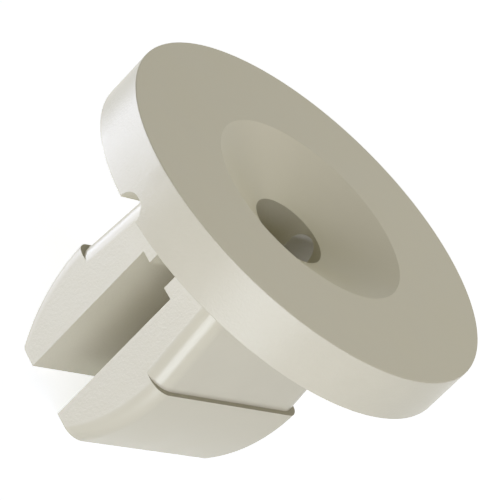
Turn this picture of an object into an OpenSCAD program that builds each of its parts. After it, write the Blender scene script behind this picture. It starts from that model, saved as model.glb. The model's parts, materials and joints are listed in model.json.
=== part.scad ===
// Retainer bushing for a bumper cover: a round, dished head on two sprung legs. The legs snap through a panel
// hole, and a screw driven down the bore spreads them so that their shoulders hold behind the panel.
// It is one moulding, in millimetres. The axis is Z, the underside of the head is Z = 0, and the slot between
// the legs runs along Y.

/* [Head] */
// Diameter of the round head
head_d = 20; // [17:0.5:24]
// Thickness of the head
head_t = 2.5; // [2.1:0.1:4]
// Rounding of the two edges of the rim
rim_round = 0.05; // [0.05:0.05:0.4]
// Diameter of the conical dish where it meets the front face
dish_d = 10.5; // [8:0.1:12]
// Wall left under the dish, at the mouth of the bore
dish_floor = 0.95; // [0.9:0.05:1.6]

/* [Bore and slot] */
// Diameter of the screw bore
bore_d = 3.8; // [3.6:0.1:4.4]
// Depth of the bore below the head, where the gap between the legs widens
bore_depth = 3.2; // [2:0.05:5]
// Width of the round-topped slot that splits the bore
slot_w = 1.5; // [1:0.1:1.6]
// Gap between the legs below the bore
leg_gap = 2.8; // [2:0.1:3.4]

/* [Legs] */
// Width of the legs, along the slot
leg_w = 10; // [8:0.1:12]
// Length of the legs below the head
leg_len = 11.2; // [9.5:0.1:12]
// Thickness across both necks where they leave the head
neck_t = 7.3; // [6.5:0.1:8]
// Angle by which each neck flares away from the axis, in degrees
neck_flare = 5.2; // [0:0.2:8]
// Radius of the outer corners of the necks
neck_round = 1; // [0.4:0.1:1.4]

/* [Barbs] */
// Depth of the shoulders below the head
barb_depth = 6.05; // [5:0.05:7.5]
// Height of each shoulder over its neck
barb_step = 0.24; // [0.1:0.02:0.6]
// Radius of the curve that runs from the shoulder to the tip
nose_r = 9.3; // [8:0.1:14]
// Radius of the two edges along that curve
nose_round = 0.75; // [0.3:0.05:1]

/* [Hidden] */
$fn = 96;

// Overshoot that carries each cut clear through the faces it opens
over = head_t / 2;
head_r = head_d / 2;
dish_r = dish_d / 2;
bore_r = bore_d / 2;
// Radius that the dish gains for each unit of height
dish_slope = (dish_r - bore_r) / (head_t - dish_floor);
// Half of the thickness across the shoulders
barb_half = neck_t / 2 + barb_depth * tan(neck_flare) + barb_step;
// Length along which a slanted neck is drawn before it is cut level
neck_run = barb_depth / cos(neck_flare);

// A flat section that runs forward from X = 0, with its two front corners rounded
module rounded_front(depth, width, corner) {
    translate([0, -width / 2]) square([depth - corner, width]);
    translate([0, corner - width / 2]) square([depth, width - 2 * corner]);
    for (side = [-1, 1])
        translate([depth - corner, side * (width / 2 - corner)]) circle(corner);
}

// The part of the space on the +X side of the axis that lies between two levels
module level_band(low, high) {
    translate([0, -head_d, low]) cube([head_d, 2 * head_d, high - low]);
}

module head() {
    rotate_extrude()
        translate([0, head_t / 2]) rounded_front(head_r, head_t, rim_round);
}

// Slanted neck on the +X side, rooted inside the head and cut level at the shoulder
module neck() {
    intersection() {
        translate([neck_t / 2, 0, 0])
            rotate([0, -neck_flare, 0])
                translate([-neck_t, 0, -neck_run - over])
                    linear_extrude(neck_run + 3 * over) rounded_front(neck_t, leg_w, neck_round);
        level_band(-barb_depth, over);
    }
}

// Barb on the +X side: a slice of a disc with rounded edges, whose axis runs along the slot
module nose() {
    intersection() {
        translate([barb_half - nose_r, 0, -barb_depth])
            rotate([90, 0, 0])
                rotate_extrude() rounded_front(nose_r, leg_w, nose_round);
        level_band(-leg_len, -barb_depth);
    }
}

// Dish and bore, cut together as one turned shape
module screw_hole() {
    rotate_extrude()
        polygon([
            [0, -bore_depth],
            [bore_r, -bore_depth],
            [bore_r, dish_floor],
            [dish_r + over * dish_slope, head_t + over],
            [0, head_t + over]
        ]);
}

// Narrow slot with a round top that runs out through the rim, and the wider gap below it
module slot() {
    rotate([90, 0, 0]) cylinder(d = slot_w, h = 2 * head_d, center = true);
    translate([-slot_w / 2, -head_d, -bore_depth - over])
        cube([slot_w, 2 * head_d, bore_depth + over]);
    translate([-leg_gap / 2, -head_d, -leg_len - over])
        cube([leg_gap, 2 * head_d, leg_len - bore_depth + over]);
}

module retainer_bushing() {
    color("#d6d2c6")
        difference() {
            union() {
                head();
                for (turn = [0, 180])
                    rotate([0, 0, turn]) {
                        neck();
                        nose();
                    }
            }
            screw_hole();
            slot();
        }
}

retainer_bushing();
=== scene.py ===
# %% [markdown]
# # Bumper retainer bushing
#
# A screw grommet moulded in one shot from natural, uncoloured nylon. A round head with a conical dish sits
# on the panel, and two legs go through the hole and spread when the screw comes down the bore. The packed
# CAD model gives the frame: every piece here is in metres, at the place that the CAD gives it.

# %% Load the frame
import json
import math

import bmesh
import bpy
from mathutils import Matrix, Vector


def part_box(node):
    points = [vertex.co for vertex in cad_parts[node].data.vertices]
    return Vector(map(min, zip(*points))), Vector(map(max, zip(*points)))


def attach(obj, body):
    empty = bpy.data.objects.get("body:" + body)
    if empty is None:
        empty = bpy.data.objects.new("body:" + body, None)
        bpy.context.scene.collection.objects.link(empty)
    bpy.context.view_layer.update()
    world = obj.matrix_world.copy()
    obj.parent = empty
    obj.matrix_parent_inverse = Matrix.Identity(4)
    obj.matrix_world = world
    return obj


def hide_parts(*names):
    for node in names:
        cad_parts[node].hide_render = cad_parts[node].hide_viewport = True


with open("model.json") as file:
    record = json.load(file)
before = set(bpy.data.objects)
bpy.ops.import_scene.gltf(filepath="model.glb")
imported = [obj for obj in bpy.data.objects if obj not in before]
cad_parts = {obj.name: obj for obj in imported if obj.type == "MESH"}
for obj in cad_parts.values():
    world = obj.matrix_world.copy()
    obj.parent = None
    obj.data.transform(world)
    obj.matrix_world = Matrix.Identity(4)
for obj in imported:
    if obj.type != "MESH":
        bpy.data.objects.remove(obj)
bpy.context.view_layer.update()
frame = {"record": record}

MM = 0.001

# %% [markdown]
# ## Sizes
#
# The outer sizes, the bore and the level of the shoulders are read from the frame, so that the moulding
# keeps in step with the CAD part. The others are the ones that the CAD part is drawn from. They could be
# measured on its mesh, but written out once they say what each step below is about. All are in millimetres.

# %% Sizes from the frame
low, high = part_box("retainer_bushing")
HEAD_R = round(high.x / MM, 3)
HEAD_T = round(high.z / MM, 3)
LEG_LEN = round(-low.z / MM, 3)

mounts = {mount["name"]: mount for mount in frame["record"]["mounts"]}
BORE_R = mounts["screw_bore"]["dims"]["r_mm"]
BORE_LEN = mounts["screw_bore"]["dims"]["length_mm"]
BARB_DEPTH = round(-mounts["shoulder_px"]["pos_m"][2] / MM, 3)
print("head radius and thickness:", HEAD_R, HEAD_T, "legs:", LEG_LEN, "shoulders:", BARB_DEPTH, "mm down")

# %% Sizes of the drawing
# Rounding of the two edges of the rim.
RIM_ROUND = 0.05
# Mouth of the dish, and the wall that is left under it.
DISH_R = 5.25
DISH_FLOOR = 0.95
BORE_DEPTH = round(BORE_LEN - DISH_FLOOR, 3)
# The slot through the head and the bore, and the wider gap between the legs.
SLOT_W = 1.5
LEG_GAP = 2.8
# Width of the legs along the slot.
LEG_W = 10.0
# Thickness across both necks at the head, their flare and their outer corners.
NECK_T = 7.3
NECK_FLARE = math.radians(5.2)
NECK_ROUND = 1.0
# Height of the shoulders, and the curve and the rounded edges of the noses.
BARB_STEP = 0.24
NOSE_R = 9.3
NOSE_ROUND = 0.75

barb_half = NECK_T / 2 + BARB_DEPTH * math.tan(NECK_FLARE) + BARB_STEP
print(f"bore: {BORE_DEPTH} mm down, across the shoulders: {2 * barb_half:.2f} mm")

# %% [markdown]
# ## The head
#
# The head is a turned shape, so its half section is drawn once and spun about the axis. A cylinder with a
# bevel would do as well, but a spun section puts every edge of the section where it is wanted. The section
# starts a little off the axis, which leaves no pole to tidy up: the bore takes that middle away later. The
# two corners at the rim are rounded before the spin, while they are still single vertices.


# %% Draw the half section
def section(bm, points):
    verts = [bm.verts.new((x, 0, z)) for x, z in points]
    bm.faces.new(verts)
    return verts


def round_corners(bm, verts, radius, segments):
    bmesh.ops.bevel(bm, geom=verts, affect="VERTICES", offset=radius, segments=segments,
                    profile=0.5, material=-1)


RIM_SEGMENTS = 5
inner = BORE_R / 2
bm = bmesh.new()
corners = section(bm, [(inner, 0), (HEAD_R, 0), (HEAD_R, HEAD_T), (inner, HEAD_T)])
round_corners(bm, corners[1:3], RIM_ROUND, RIM_SEGMENTS)
print("half section of the head:", len(bm.edges), "edges")

# %% Spin it
# Points closer than this, in millimetres, are one point.
TINY = 1e-4
HEAD_STEPS = 240


def turn(bm, steps):
    # An edge that lies on the axis would spin into slivers, so it goes, and the face inside the section too.
    on_axis = [e for e in bm.edges if all(abs(v.co.x) < TINY for v in e.verts)]
    bmesh.ops.delete(bm, geom=bm.faces[:], context="FACES_ONLY")
    bmesh.ops.delete(bm, geom=on_axis, context="EDGES")
    bmesh.ops.spin(bm, geom=bm.verts[:] + bm.edges[:], cent=(0, 0, 0), axis=(0, 0, 1), dvec=(0, 0, 0),
                   angle=2 * math.pi, steps=steps, use_merge=True, use_duplicate=False)


turn(bm, HEAD_STEPS)
print("head:", len(bm.faces), "faces")


# %% Keep it as a piece
def new_piece(name, bm):
    bmesh.ops.remove_doubles(bm, verts=bm.verts, dist=TINY)
    bmesh.ops.recalc_face_normals(bm, faces=bm.faces)
    bmesh.ops.scale(bm, vec=(MM, MM, MM), verts=bm.verts)
    mesh = bpy.data.meshes.new(name)
    bm.to_mesh(mesh)
    bm.free()
    piece = bpy.data.objects.new(name, mesh)
    bpy.context.scene.collection.objects.link(piece)
    return piece


bushing = new_piece("bushing", bm)
print("head in mm:", [round(d / MM, 2) for d in bushing.dimensions])

# %% [markdown]
# ## The legs
#
# Both legs are made as one block that the slot splits later, so that they stay each other's mirror image.
# Its cross-section is a rectangle with rounded corners at every level, so one rounded face is pulled down
# level by level: along the flare of the necks, straight out at the shoulders, then round the arc of the
# noses. Pushing the two outer sides apart, and not scaling them, keeps the corners round. At the shoulder
# the corners get a smaller radius, and scaling each one about its own tip does that exactly.


# %% Pull the necks out of one face
def pull(bm, loop, down, outward):
    made = bmesh.ops.extrude_edge_only(bm, edges=loop)["geom"]
    verts = [g for g in made if isinstance(g, bmesh.types.BMVert)]
    bmesh.ops.translate(bm, vec=(0, 0, -down), verts=verts)
    for side in (-1, 1):
        outer = [v for v in verts if v.co.x * side > 0]
        bmesh.ops.translate(bm, vec=(side * outward, 0, 0), verts=outer)
    return verts, [g for g in made if isinstance(g, bmesh.types.BMEdge)]


CORNER_SEGMENTS = 12
# The necks start this far up inside the head, so that the two solids overlap where they are joined.
NECK_ROOT = 0.3
root_half = NECK_T / 2 - NECK_ROOT * math.tan(NECK_FLARE)
neck_run = NECK_ROOT + BARB_DEPTH
bm = bmesh.new()
bmesh.ops.create_grid(bm, x_segments=1, y_segments=1, size=1)
bmesh.ops.scale(bm, vec=(root_half, LEG_W / 2, 1), verts=bm.verts)
bmesh.ops.translate(bm, vec=(0, 0, NECK_ROOT), verts=bm.verts)
round_corners(bm, bm.verts[:], NECK_ROUND, CORNER_SEGMENTS)
verts, loop = pull(bm, bm.edges[:], neck_run, neck_run * math.tan(NECK_FLARE))
print("necks:", len(bm.faces), "faces,", round(2 * max(v.co.x for v in verts), 2), "mm across at their ends")

# %% Pull the shoulders
verts, loop = pull(bm, loop, 0, BARB_STEP)
shrink = NOSE_ROUND / NECK_ROUND
for side_x in (-1, 1):
    for side_y in (-1, 1):
        tip = Vector((side_x * barb_half, side_y * LEG_W / 2, -BARB_DEPTH))
        corner = [v for v in verts if v.co.x * side_x > 0 and v.co.y * side_y > 0]
        bmesh.ops.scale(bm, vec=(shrink, shrink, shrink), space=Matrix.Translation(-tip), verts=corner)
print("shoulders:", round(2 * max(v.co.x for v in verts), 2), "mm across")

# %% Pull the noses
NOSE_LEVELS = 24
nose_turn = math.asin((LEG_LEN - BARB_DEPTH) / NOSE_R)
for i in range(NOSE_LEVELS):
    start = nose_turn * i / NOSE_LEVELS
    end = nose_turn * (i + 1) / NOSE_LEVELS
    down = NOSE_R * (math.sin(end) - math.sin(start))
    outward = NOSE_R * (math.cos(end) - math.cos(start))
    verts, loop = pull(bm, loop, down, outward)
bmesh.ops.contextual_create(bm, geom=loop)
print("noses:", round(2 * max(v.co.x for v in verts), 2), "mm across at the tips")

# %% Make each flat side one face
for side in (-1, 1):
    flat = [f for f in bm.faces if all(abs(v.co.y - side * LEG_W / 2) < TINY for v in f.verts)]
    bmesh.ops.dissolve_faces(bm, faces=flat)
print("legs:", len(bm.faces), "faces")
legs = new_piece("legs", bm)

# %% [markdown]
# ## The cuts
#
# The dish and the bore are one turned shape, and the slot between the legs is one flat section pulled along
# Y: a wide gap at the bottom, a narrow slot above it, and a round top that runs out through the rim.
# Cutting loops into the head by hand would leave long thin faces, so each is made as a solid and taken away
# from the moulding, as a core pin and a blade do in the mould.

# %% Core pin for the dish and the bore
PIN_STEPS = 144
# Both cutters run this far past the faces that they open.
CLEAR = 1.0
# The pin ends just below the step of the slot, so that the two cutters share no face.
PIN_OVERLAP = 0.002
pin_low = -BORE_DEPTH - PIN_OVERLAP
slope = (DISH_R - BORE_R) / (HEAD_T - DISH_FLOOR)
bm = bmesh.new()
section(bm, [(0, pin_low), (BORE_R, pin_low), (BORE_R, DISH_FLOOR),
             (DISH_R + CLEAR * slope, HEAD_T + CLEAR), (0, HEAD_T + CLEAR)])
turn(bm, PIN_STEPS)
pin = new_piece("core_pin", bm)
steep = math.degrees(math.atan(1 / slope))
print("core pin:", len(pin.data.polygons), "faces, the dish is", round(steep, 1), "degrees steep")

# %% Blade for the slot
wide = LEG_GAP / 2
narrow = SLOT_W / 2
step_z = -BORE_DEPTH
blade_low = -LEG_LEN - CLEAR
blade_half = HEAD_R + CLEAR
bm = bmesh.new()
corners = section(bm, [(-wide, blade_low), (wide, blade_low), (wide, step_z), (narrow, step_z),
                       (narrow, narrow), (-narrow, narrow), (-narrow, step_z), (-wide, step_z)])
round_corners(bm, corners[4:6], narrow, CORNER_SEGMENTS)
bmesh.ops.remove_doubles(bm, verts=bm.verts, dist=TINY)
bmesh.ops.translate(bm, vec=(0, -blade_half, 0), verts=bm.verts)
made = bmesh.ops.extrude_face_region(bm, geom=bm.faces[:])["geom"]
far_end = [g for g in made if isinstance(g, bmesh.types.BMVert)]
bmesh.ops.translate(bm, vec=(0, 2 * blade_half, 0), verts=far_end)
blade = new_piece("slot_blade", bm)
print("slot blade:", len(blade.data.polygons), "faces")

# %% [markdown]
# ## One moulding
#
# Joining and cutting could be left as live modifiers, but the surfaces need work afterwards, so the result
# is made a plain mesh at once and the helpers are thrown away.

# %% Join and cut
for tool, operation in ((legs, "UNION"), (pin, "DIFFERENCE"), (blade, "DIFFERENCE")):
    step = bushing.modifiers.new(tool.name, "BOOLEAN")
    step.operation = operation
    step.solver = "EXACT"
    step.object = tool
bpy.context.view_layer.update()
solid = bpy.data.meshes.new_from_object(bushing.evaluated_get(bpy.context.evaluated_depsgraph_get()))
bushing.modifiers.clear()
bushing.data = solid
for tool in (legs, pin, blade):
    bpy.data.objects.remove(tool)
print("joined and cut:", len(solid.polygons), "faces")

# %% Clean the joints
bm = bmesh.new()
bm.from_mesh(solid)
bmesh.ops.remove_doubles(bm, verts=bm.verts, dist=TINY * MM)
bmesh.ops.dissolve_degenerate(bm, edges=bm.edges, dist=TINY * MM / 10)
open_edges = sum(not e.is_manifold for e in bm.edges)
volume = round(bm.calc_volume() / MM ** 3, 1)
print("moulding:", len(bm.faces), "faces, open edges", open_edges, "volume", volume, "mm3")
bm.to_mesh(solid)
bm.free()

# %% [markdown]
# ## Smooth shading
#
# Flat and curved faces share edges here. Plain smooth shading would bend the normals of the flat faces, so
# edges over 20 degrees are kept sharp, and Weighted Normals, at full weight, lets the large flat faces
# decide at the edges that stay soft.

# %% Shade the moulding
SHARP = math.radians(20)
solid.shade_smooth()
solid.set_sharp_from_angle(angle=SHARP)
weight = bushing.modifiers.new("weighted_normals", "WEIGHTED_NORMAL")
weight.mode = "FACE_AREA"
weight.weight = 100
weight.keep_sharp = True

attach(bushing, "root")
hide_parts("retainer_bushing")
print("sharp edges:", sum(e.use_edge_sharp for e in solid.edges), "of", len(solid.edges))

# %% [markdown]
# ## Natural nylon, moulded
#
# The real part is natural polyamide: uncoloured, milky, a little yellow and nearly matt. What sets one face
# apart from the next is mostly the steel it was moulded against. Spark-eroded steel leaves a fine grain on
# the rim and on the flat sides of the legs, and light that rakes over them shows it. The front face, the
# dish and the noses come from smooth steel and look even. The necks come from polished steel, so that a
# narrow bright stripe runs down their rounded corners. The level faces of the shoulders are undercuts in the
# shade of the head and the necks: their darker tone is painted shade, and they are left rough. One finish
# with painted masks would do, but each change of finish lies on an edge of the mesh, so four slots of one
# recipe are simpler.


# %% Colours
def linear(code):
    # Blender works in linear light, so the curve of sRGB is undone.
    parts = [int(code[i:i + 2], 16) / 255 for i in (1, 3, 5)]
    return [p / 12.92 if p <= 0.04045 else ((p + 0.055) / 1.055) ** 2.4 for p in parts] + [1.0]


WHITE = linear("#ffffff")
# Each finish varies between two tones that lie close together.
MILKY = ("#cbc6af", "#cdc8b1")
# Darker tones that paint the shade on the level faces of the shoulders.
SHADED = ("#a6a18a", "#a9a48d")
print("milky nylon in linear light:", [round(c, 3) for c in linear(MILKY[0])])

# %% Nodes and the sizes of the patterns
# Soft clouds from the flow of the melt, in millimetres.
FLOW = 1.6
# Pits of the eroded steel, drawn coarser than the real ones so that they show.
GRAIN = 0.13


def noise_scale(size):
    return 1 / (size * MM)


def new_tree(owner):
    owner.use_nodes = True
    owner.node_tree.nodes.clear()
    return owner.node_tree


def add(tree, kind, settings=None, links=None):
    node = tree.nodes.new(kind)
    for name, value in (settings or {}).items():
        if name in node.inputs:
            node.inputs[name].default_value = value
        else:
            setattr(node, name, value)
    for name, source in (links or {}).items():
        tree.links.new(source, node.inputs[name])
    return node


print("noise scales of clouds and grain:", round(noise_scale(FLOW)), "and", round(noise_scale(GRAIN)))

# %% Recipe of the moulded nylon
POLYAMIDE_IOR = 1.53
# Most of a noise lies between these two values.
NOISE_LOW, NOISE_HIGH = 0.3, 0.7


def moulded_nylon(name, tones, grain_depth, roughness):
    # The depth is in millimetres, and the tones and the roughness are two ends of a range.
    finish = bpy.data.materials.new(name)
    tree = new_tree(finish)
    place = add(tree, "ShaderNodeTexCoord").outputs["Object"]
    # The clouds are hardly lighter and darker, and the gloss comes and goes a little with them.
    clouds = add(tree, "ShaderNodeTexNoise", {"Scale": noise_scale(FLOW), "Detail": 3.0}, {"Vector": place})
    colour = add(tree, "ShaderNodeValToRGB", links={"Fac": clouds.outputs["Fac"]})
    for stop, position, tone in zip(colour.color_ramp.elements, (NOISE_LOW, NOISE_HIGH), tones):
        stop.position = position
        stop.color = linear(tone)
    gloss = add(tree, "ShaderNodeMapRange",
                {"From Min": NOISE_LOW, "From Max": NOISE_HIGH,
                 "To Min": roughness[0], "To Max": roughness[1]},
                {"Value": clouds.outputs["Fac"]})
    grain = add(tree, "ShaderNodeTexNoise", {"Scale": noise_scale(GRAIN), "Detail": 2.0, "Roughness": 0.6},
                {"Vector": place})
    relief = add(tree, "ShaderNodeBump", {"Strength": 1.0, "Distance": grain_depth * MM},
                 {"Height": grain.outputs["Fac"]})
    shader = add(tree, "ShaderNodeBsdfPrincipled", {"IOR": POLYAMIDE_IOR},
                 {"Base Color": colour.outputs["Color"], "Roughness": gloss.outputs["Result"],
                  "Normal": relief.outputs["Normal"]})
    add(tree, "ShaderNodeOutputMaterial", links={"Surface": shader.outputs["BSDF"]})
    return finish


# A wide, soft highlight, broken up by the grain.
grained = moulded_nylon("natural_polyamide_grained", MILKY, grain_depth=0.016, roughness=(0.33, 0.39))
print("grained nylon:", len(grained.node_tree.nodes), "nodes")

# %% The other finishes
# A reflection rougher than about 0.27 counts as diffuse light in Cycles and meets the dim world of the
# studio below, so a range of roughness stays on one side of that, or patches would show.

# The widest highlight, and no grain to be seen.
even = moulded_nylon("natural_polyamide_even", MILKY, grain_depth=0.001, roughness=(0.37, 0.43))
# A narrower highlight, which shows as a stripe on a rounded corner.
polished = moulded_nylon("natural_polyamide_polished", MILKY, grain_depth=0.001, roughness=(0.25, 0.27))
# No highlight, and a darker tone that is painted shade: the shoulders lie in the shade of the head.
painted_shade = moulded_nylon("natural_polyamide_painted_shade", SHADED, grain_depth=0.016, roughness=(0.6, 0.7))

# The fourth slot holds the painted shade of the shoulders.
GRAINED, EVEN, POLISHED, PAINTED_SHADE = range(4)
solid.materials.clear()
for finish in (grained, even, polished, painted_shade):
    solid.materials.append(finish)
print("finishes:", [finish.name for finish in solid.materials])

# %% Give each face its finish
# Least share of a face's normal that has to point up, or out from the axis.
LOOKS_UP, LOOKS_OUT = 0.8, 0.01
# A face this close to the level of the shoulders, in millimetres, lies on them.
ON_SHOULDER = 0.01


def finish_of(face):
    height = face.center.z / MM
    outward = face.normal.x * math.copysign(1, face.center.x)
    if face.normal.z > LOOKS_UP and height > DISH_FLOOR:
        return EVEN
    # The level faces of the shoulders get the painted shade.
    if face.normal.z > LOOKS_UP and abs(height + BARB_DEPTH) < ON_SHOULDER:
        return PAINTED_SHADE
    if outward > LOOKS_OUT and height < 0:
        return EVEN if height < -BARB_DEPTH else POLISHED
    return GRAINED


for face in solid.polygons:
    face.material_index = finish_of(face)
# The last count is of the faces that get the painted shade.
used = [face.material_index for face in solid.polygons]
print("faces grained, even, polished and scuffed:", [used.count(i) for i in range(4)])

# %% [markdown]
# ## Camera
#
# The bushing stands upright in its frame, so the camera takes the tilt: it looks down on the bushing by 24
# degrees and is rolled by 45 degrees. Aiming it by eye would do for a first look. These numbers come from
# fitting the outlines of the head, the dish, the bore and the legs, with an image of 500 pixels a side.

# %% Directions of the camera
AZIMUTH = math.radians(33.3334)
ELEVATION = math.radians(23.9060)
ROLL = math.radians(44.7723)
ground = Vector((math.sin(AZIMUTH), -math.cos(AZIMUTH), 0))
away = ground * math.cos(ELEVATION) + Vector((0, 0, math.sin(ELEVATION)))
level = Vector((math.cos(AZIMUTH), math.sin(AZIMUTH), 0))
upright = away.cross(level)
right = math.cos(ROLL) * level + math.sin(ROLL) * upright
up = math.cos(ROLL) * upright - math.sin(ROLL) * level
print("towards the camera:", [round(c, 3) for c in away])

# %% Camera
IMAGE_PX = 500
FOCAL_PX = 2780.40
# Place of the camera along its own three directions, in millimetres.
DISTANCE = 124.4772
TO_RIGHT = -1.1178
UPWARD = -0.2437

lens = bpy.data.cameras.new("camera")
lens.sensor_width = 36
lens.lens = lens.sensor_width * FOCAL_PX / IMAGE_PX
lens.clip_start = 0.01
lens.clip_end = 10
camera = bpy.data.objects.new("camera", lens)
scene = bpy.context.scene
scene.collection.objects.link(camera)
pose = Matrix((right, up, away)).transposed().to_4x4()
pose.translation = (DISTANCE * away + TO_RIGHT * right + UPWARD * up) * MM
camera.matrix_world = pose
scene.camera = camera
print("camera:", round(lens.lens, 1), "mm lens,", round(pose.translation.length / MM, 1), "mm away")

# %% [markdown]
# ## Studio
#
# A small white part is photographed in a light tent: some light from everywhere, and white wherever the
# camera looks. A bright white world would do both, but it would wash out the shape, so Light Path splits
# the two. The camera, reflections and see-through rays meet white, and the surfaces are lit by a dim,
# slightly warm world.

# %% World
AMBIENT = 0.25
scene.view_settings.view_transform = "Standard"
world = bpy.data.worlds.new("light_tent")
scene.world = world
tree = new_tree(world)
ray = add(tree, "ShaderNodeLightPath").outputs
mirrored = add(tree, "ShaderNodeMath", {"operation": "MAXIMUM"},
               {0: ray["Is Camera Ray"], 1: ray["Is Glossy Ray"]})
seen = add(tree, "ShaderNodeMath", {"operation": "MAXIMUM"},
           {0: mirrored.outputs[0], 1: ray["Is Transmission Ray"]})
ambient = add(tree, "ShaderNodeBackground", {"Color": linear("#fffcf1"), "Strength": AMBIENT})
white = add(tree, "ShaderNodeBackground", {"Color": WHITE, "Strength": 1.0})
tent = add(tree, "ShaderNodeMixShader",
           links={0: seen.outputs[0], 1: ambient.outputs[0], 2: white.outputs[0]})
add(tree, "ShaderNodeOutputWorld", links={"Surface": tent.outputs[0]})
print("world:", len(tree.nodes), "nodes, surfaces get", AMBIENT, "of white")

# %% [markdown]
# ## Softboxes
#
# Each softbox is a rectangle of even light, set by what it has to show. The left one lights the flat sides
# of the legs and the left of the rim. The low front one draws the stripe down the rounded corner of the
# near neck, and the high front one brightens the rim above it. The right one reaches into the dish and the
# bore. The last three keep the front face and the back from going dull. A box is given by its direction and
# half angles in degrees, seen from the part, so that its brightness, and not its distance, says how
# strongly it shows in a highlight.

# %% One softbox
# Distance from the middle of the part to each box, in metres.
REACH = 0.15


def softbox(name, toward, half_angles, radiance, tone):
    azimuth, elevation = (math.radians(angle) for angle in toward)
    half_wide, half_high = (math.radians(angle) for angle in half_angles)
    ground = Vector((math.cos(azimuth), math.sin(azimuth), 0))
    facing = ground * math.cos(elevation) + Vector((0, 0, math.sin(elevation)))
    across = Vector((0, 0, 1)).cross(facing).normalized()
    lamp = bpy.data.lights.new(name, "AREA")
    lamp.shape = "RECTANGLE"
    lamp.size = 2 * REACH * math.tan(half_wide)
    lamp.size_y = 2 * REACH * math.tan(half_high)
    lamp.energy = radiance * math.pi * lamp.size * lamp.size_y
    lamp.color = linear(tone)[:3]
    box = bpy.data.objects.new(name, lamp)
    scene.collection.objects.link(box)
    place = Matrix((across, facing.cross(across), facing)).transposed().to_4x4()
    place.translation = facing * REACH
    box.matrix_world = place
    box.visible_camera = False
    return lamp


left = softbox("softbox_left", (-150, -24), half_angles=(28, 13), radiance=5.45, tone="#e6ebff")
print("left softbox:", round(left.size / MM), "by", round(left.size_y / MM), "mm")

# %% The other softboxes
softbox("softbox_front_low", (-41, -20), half_angles=(17, 8), radiance=6.5, tone="#edf6ff")
softbox("softbox_front_high", (-51, 6), half_angles=(18, 8), radiance=6.2, tone="#eae6ff")
softbox("softbox_right", (-6, 18), half_angles=(25, 7), radiance=4.1, tone="#e3e6ff")
softbox("softbox_top", (60, 66), half_angles=(25, 20), radiance=0.5, tone="#ffffd3")
softbox("softbox_behind", (112, 46), half_angles=(18, 12), radiance=1.5, tone="#fff6ec")
softbox("softbox_back", (115, -40), half_angles=(30, 25), radiance=0.3, tone="#ffffff")

# %% [markdown]
# ## Floor
#
# The floor is a sheet of white paper that keeps the soft shadow of the part. Lit paper alone would come out
# grey under this light, so it glows a little: glow and light together make white, and the shadow takes only
# the light away. The lamps do not reach far, so the glow rises to full white with the distance. Several
# softboxes are lower than the floor, so the paper lets their light pass and is clear from below.

# %% Sheet
SHEET_HALF = 400
# A little air under the tips, so that the sheet and the part share no face.
SHEET_GAP = 0.02
bm = bmesh.new()
bmesh.ops.create_grid(bm, x_segments=1, y_segments=1, size=SHEET_HALF)
bmesh.ops.translate(bm, vec=(0, 0, -LEG_LEN - SHEET_GAP), verts=bm.verts)
floor = new_piece("floor", bm)
# The sheet has to face up, because it is clear from behind.
if floor.data.polygons[0].normal.z < 0:
    floor.data.flip_normals()
floor.visible_diffuse = False
floor.visible_glossy = False
floor.visible_transmission = False
floor.visible_shadow = False
print("floor at", round(floor.data.vertices[0].co.z / MM, 2), "mm")

# %% Paper
GLOW = 0.61
# The glow rises between these distances from the middle, in millimetres.
FADE_START, FADE_END = 50, 150
# Matt paper without a highlight: an even white that only the shadow tints.
paper = bpy.data.materials.new("white_paper")
tree = new_tree(paper)
place = add(tree, "ShaderNodeTexCoord").outputs["Object"]
distance = add(tree, "ShaderNodeVectorMath", {"operation": "LENGTH"}, {0: place})
fade = add(tree, "ShaderNodeMapRange",
           {"From Min": FADE_START * MM, "From Max": FADE_END * MM, "To Min": GLOW, "To Max": 1.0},
           {"Value": distance.outputs["Value"]})
glow = add(tree, "ShaderNodeEmission", {"Color": WHITE}, {"Strength": fade.outputs["Result"]})
matt = add(tree, "ShaderNodeBsdfDiffuse", {"Color": linear("#f1f6ff")})
lit = add(tree, "ShaderNodeAddShader", links={0: glow.outputs[0], 1: matt.outputs[0]})
clear_below = add(tree, "ShaderNodeBsdfTransparent")
below = add(tree, "ShaderNodeNewGeometry").outputs["Backfacing"]
sheet = add(tree, "ShaderNodeMixShader", links={0: below, 1: lit.outputs[0], 2: clear_below.outputs[0]})
add(tree, "ShaderNodeOutputMaterial", links={"Surface": sheet.outputs[0]})
floor.data.materials.append(paper)
print("paper:", len(tree.nodes), "nodes")
